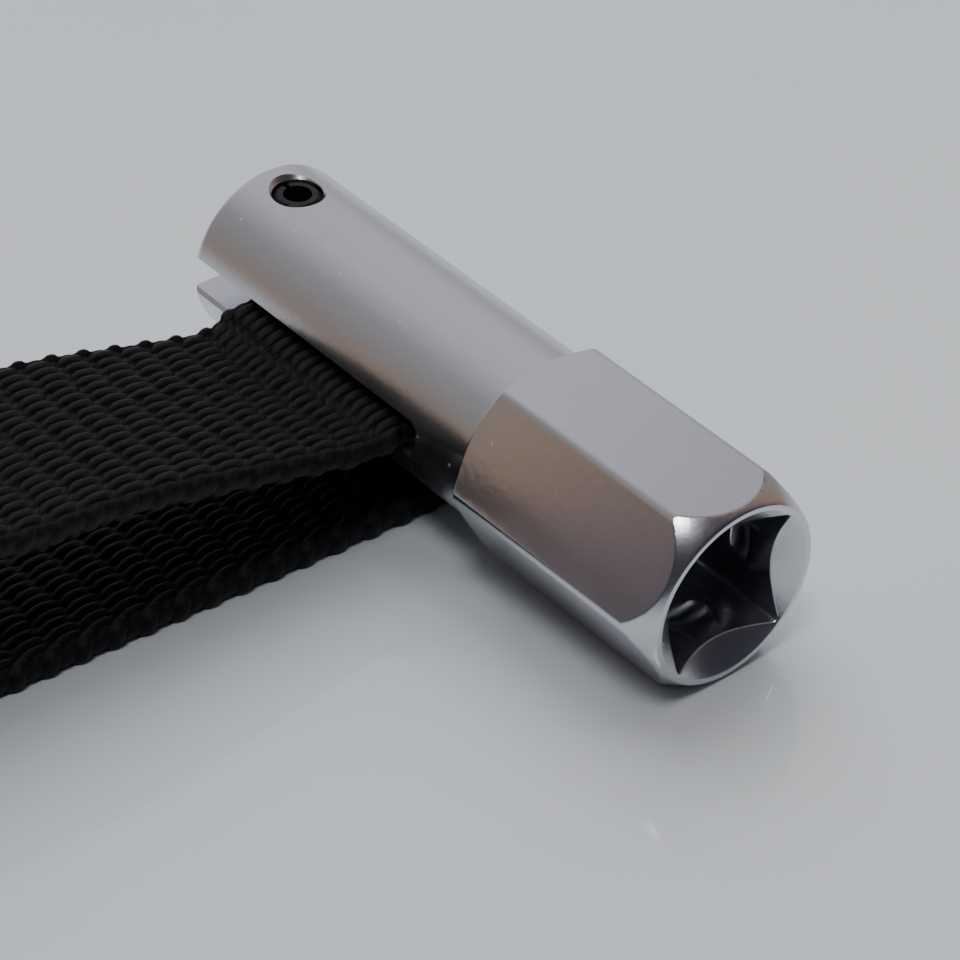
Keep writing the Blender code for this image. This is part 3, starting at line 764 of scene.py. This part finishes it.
def webbing_strip(name, start, length, finish, lift=0.0):
    """A stretch of the webbing from one place along the loop, woven and closed at both ends."""
    outline = strip_outline()
    around = len(outline)
    rows = max(2, round(length / SAMPLE_ALONG))
    v = start + np.linspace(0.0, length, rows + 1)
    bm = bmesh.new()
    bmesh.ops.create_grid(bm, x_segments=around, y_segments=rows, size=0.5)
    mesh = bpy.data.meshes.new(name)
    bm.to_mesh(mesh)
    bm.free()
    grid = np.zeros(len(mesh.vertices) * 3)
    mesh.vertices.foreach_get("co", grid)
    grid = grid.reshape(-1, 3) + 0.5
    i = np.rint(grid[:, 0] * around).astype(int)
    j = np.rint(grid[:, 1] * rows).astype(int)
    across, up, out_across, out_up, along_face, is_edge = outline[i % around].T
    at = np.mod(v[j], LOOP_LENGTH)
    wrapped = np.append(ROUTE_LENGTHS, LOOP_LENGTH)
    closed = np.concatenate([ROUTE, ROUTE[:1]])
    place = np.stack([np.interp(at, wrapped, closed[:, c]) for c in range(4)], axis=1)
    step = 0.3 * MM
    ahead, behind = (
        np.stack([np.interp(np.mod(there, LOOP_LENGTH), wrapped, closed[:, c]) for c in range(3)], axis=1)
        for there in (at + step, at - step)
    )
    along = ahead - behind
    along /= np.linalg.norm(along, axis=1)[:, None]
    tilt = place[:, 3]
    lay = LAY_ANGLE * (1.0 - np.clip(tilt, 0.0, None) / PITCH)
    width = np.stack([np.cos(tilt) * np.cos(lay), -np.sin(lay), -np.sin(tilt)], axis=1)
    thick = np.cross(width, along)
    thick /= np.linalg.norm(thick, axis=1)[:, None]
    rib_height, rib, weft = rib_relief(along_face * np.sign(out_up + 0.5), v[j])
    loop_height, loop, selvedge_highlight_share = selvedge_relief(along_face, v[j])
    edge_share = is_edge
    height = np.where(edge_share > 0.5, loop_height, rib_height)
    across = across + height * out_across
    up = up + height * out_up + lift
    position = place[:, :3] + across[:, None] * width + up[:, None] * thick + np.array(tool_origin)
    mesh.vertices.foreach_set("co", position.ravel())
    # The weave's third value, the rib's height share, sets the painted shade in the creases.
    weave = mesh.attributes.new("weave", "FLOAT_VECTOR", "POINT")
    rib = np.where(edge_share > 0.5, loop, rib)
    weft = np.where(edge_share > 0.5, selvedge_highlight_share, weft)
    weave.data.foreach_set("vector", np.stack([across / MM, v[j] / MM, rib], axis=1).ravel())
    # The weft's share sets the painted highlight along the weft lines.
    weft_highlight_layer = mesh.attributes.new("weft", "FLOAT", "POINT")
    weft_highlight_layer.data.foreach_set("value", weft)
    bm = bmesh.new()
    bm.from_mesh(mesh)
    bmesh.ops.remove_doubles(bm, verts=bm.verts, dist=0.001 * MM)
    bmesh.ops.holes_fill(bm, edges=[e for e in bm.edges if e.is_boundary], sides=0)
    bmesh.ops.recalc_face_normals(bm, faces=bm.faces)
    bm.to_mesh(mesh)
    bm.free()
    mesh.shade_smooth()
    mesh.materials.append(finish)
    piece = bpy.data.objects.new(name, mesh)
    bpy.context.scene.collection.objects.link(piece)
    return piece


def black_webbing():
    """Twisted black yarn: fine fibres along the ribs, painted shade darker in the creases between them, and a painted
    highlight along the weft lines.
    """
    finish, tree, shader = new_finish("black webbing", (0.008, 0.008, 0.010), 0.5)
    shader.inputs["Specular IOR Level"].default_value = 0.22
    weave = add_node(tree, "ShaderNodeAttribute", attribute_name="weave")
    weft = add_node(tree, "ShaderNodeAttribute", attribute_name="weft")
    parts = add_node(tree, "ShaderNodeSeparateXYZ")
    tree.links.new(weave.outputs["Vector"], parts.inputs[0])
    twist = add_node(tree, "ShaderNodeMapping")
    twist.inputs["Rotation"].default_value = (0.0, 0.0, math.radians(22.0))
    twist.inputs["Scale"].default_value = (9.0, 1.4, 0.2)
    tree.links.new(weave.outputs["Vector"], twist.inputs["Vector"])
    fibre = add_node(tree, "ShaderNodeTexNoise", Scale=1.6, Detail=3.0)
    tree.links.new(twist.outputs[0], fibre.inputs["Vector"])
    # Painted shade: by the rib's height share the yarn's black goes darker down into the creases between the ribs.
    black_with_crease_shade = ramp(
        tree,
        parts.outputs["Z"],
        [
            (0.0, (0.0010, 0.0010, 0.0012)),
            (0.5, (0.0040, 0.0040, 0.005)),
            (1.0, (0.0075, 0.0073, 0.009)),
        ],
    )
    # Painted highlight: the weft lines paler.
    painted_weft_highlight = add_node(tree, "ShaderNodeMix", data_type="RGBA")
    tree.links.new(black_with_crease_shade, painted_weft_highlight.inputs[6])
    painted_weft_highlight.inputs[7].default_value = (0.024, 0.023, 0.023, 1.0)
    tree.links.new(band_of(tree, weft.outputs["Fac"], 0.3, 1.0, 0.0, 0.7), painted_weft_highlight.inputs[0])
    tone = add_node(tree, "ShaderNodeMix", data_type="RGBA", blend_type="MULTIPLY")
    tone.inputs[0].default_value = 1.0
    tree.links.new(painted_weft_highlight.outputs[2], tone.inputs[6])
    tree.links.new(
        ramp(tree, fibre.outputs[0], [(0.3, (0.55, 0.55, 0.55)), (0.7, (1.5, 1.5, 1.5))]), tone.inputs[7]
    )
    tree.links.new(tone.outputs[2], shader.inputs["Base Color"])
    add_bump(tree, shader, fibre.outputs[0], 0.6, 0.00012)
    return finish


tool_origin = bar_origin
webbing = black_webbing()


def along_loop(y, lower):
    """How far round the loop from the crown a run passes a given reach from the bar."""
    half = np.arange(len(ROUTE))
    turn_place = int(np.argmin(np.abs(ROUTE[:, 1] - ROUTE[:, 1].max())))
    side = half > turn_place if lower else half < turn_place
    side &= ROUTE[:, 1] > CROWN_Y - 1.0 * MM
    chosen = half[side]
    return ROUTE_LENGTHS[chosen[np.argmin(np.abs(ROUTE[chosen, 1] - y))]]


NEAR_SPLIT = 60.0 * MM
FAR_SPLIT = 188.0 * MM
places = [
    along_loop(-NEAR_SPLIT, False),
    along_loop(-NEAR_SPLIT, True),
    along_loop(-FAR_SPLIT, True),
    along_loop(-FAR_SPLIT, False) + LOOP_LENGTH,
    along_loop(-NEAR_SPLIT, False) + LOOP_LENGTH,
]
places = [round(place / SAMPLE_ALONG) * SAMPLE_ALONG for place in places]
STRIPS = [
    ("webbing_round_prong", "strap_bight", ("bar", "strap"), "folded"),
    ("webbing_on_bench", "strap_lower_run", ("strap", "strap_end"), "laid"),
    ("webbing_far_end", "strap_end_loop", ("strap_end",), "folded"),
    ("webbing_upper_run", "strap_upper_run", ("strap", "strap_end"), "folded"),
]
strips = {}
for (name, node, bodies, held), start, end in zip(STRIPS, places, places[1:]):
    strip = webbing_strip(name, start, end - start, webbing)
    strips[name] = strip
    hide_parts(node)
    if len(bodies) == 1:
        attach(strip, bodies[0])
    else:
        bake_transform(strip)

# ---------------------------------------------------------------- sewn lap
# The strip's cut end, lapped over its other end on the loop's outside and heat sealed.

LAP_START = 158.0 * MM
LAP_LENGTH = 42.0 * MM
lap_from = along_loop(-LAP_START - LAP_LENGTH, False)
lap = webbing_strip("webbing_lap", lap_from, LAP_LENGTH, webbing, lift=STRAP_THICKNESS + GAP)
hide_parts("strap_lap")
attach(lap, "strap_end")

# ---------------------------------------------------------------- seam threads
# Bonded black thread, lockstitched back and forth across the lap: the needle's thread on
# the outside and the bobbin's on the inside.


def bonded_thread():
    finish, tree, shader = new_finish("sewing thread", (0.02, 0.02, 0.022), 0.45)
    place = add_node(tree, "ShaderNodeTexCoord").outputs["Object"]
    twist = add_node(tree, "ShaderNodeTexWave", Scale=900.0, Distortion=1.0)
    tree.links.new(place, twist.inputs["Vector"])
    yarn = [(0.2, (0.010, 0.010, 0.012)), (0.8, (0.035, 0.035, 0.04))]
    colour = ramp(tree, twist.outputs["Color"], yarn)
    tree.links.new(colour, shader.inputs["Base Color"])
    add_bump(tree, shader, twist.outputs["Fac"], 0.4, 0.00008)
    return finish


thread = bonded_thread()
for name in ("seam_thread", "seam_bobbin_thread"):
    frame["nodes"][name].data.materials.clear()
    frame["nodes"][name].data.materials.append(thread)
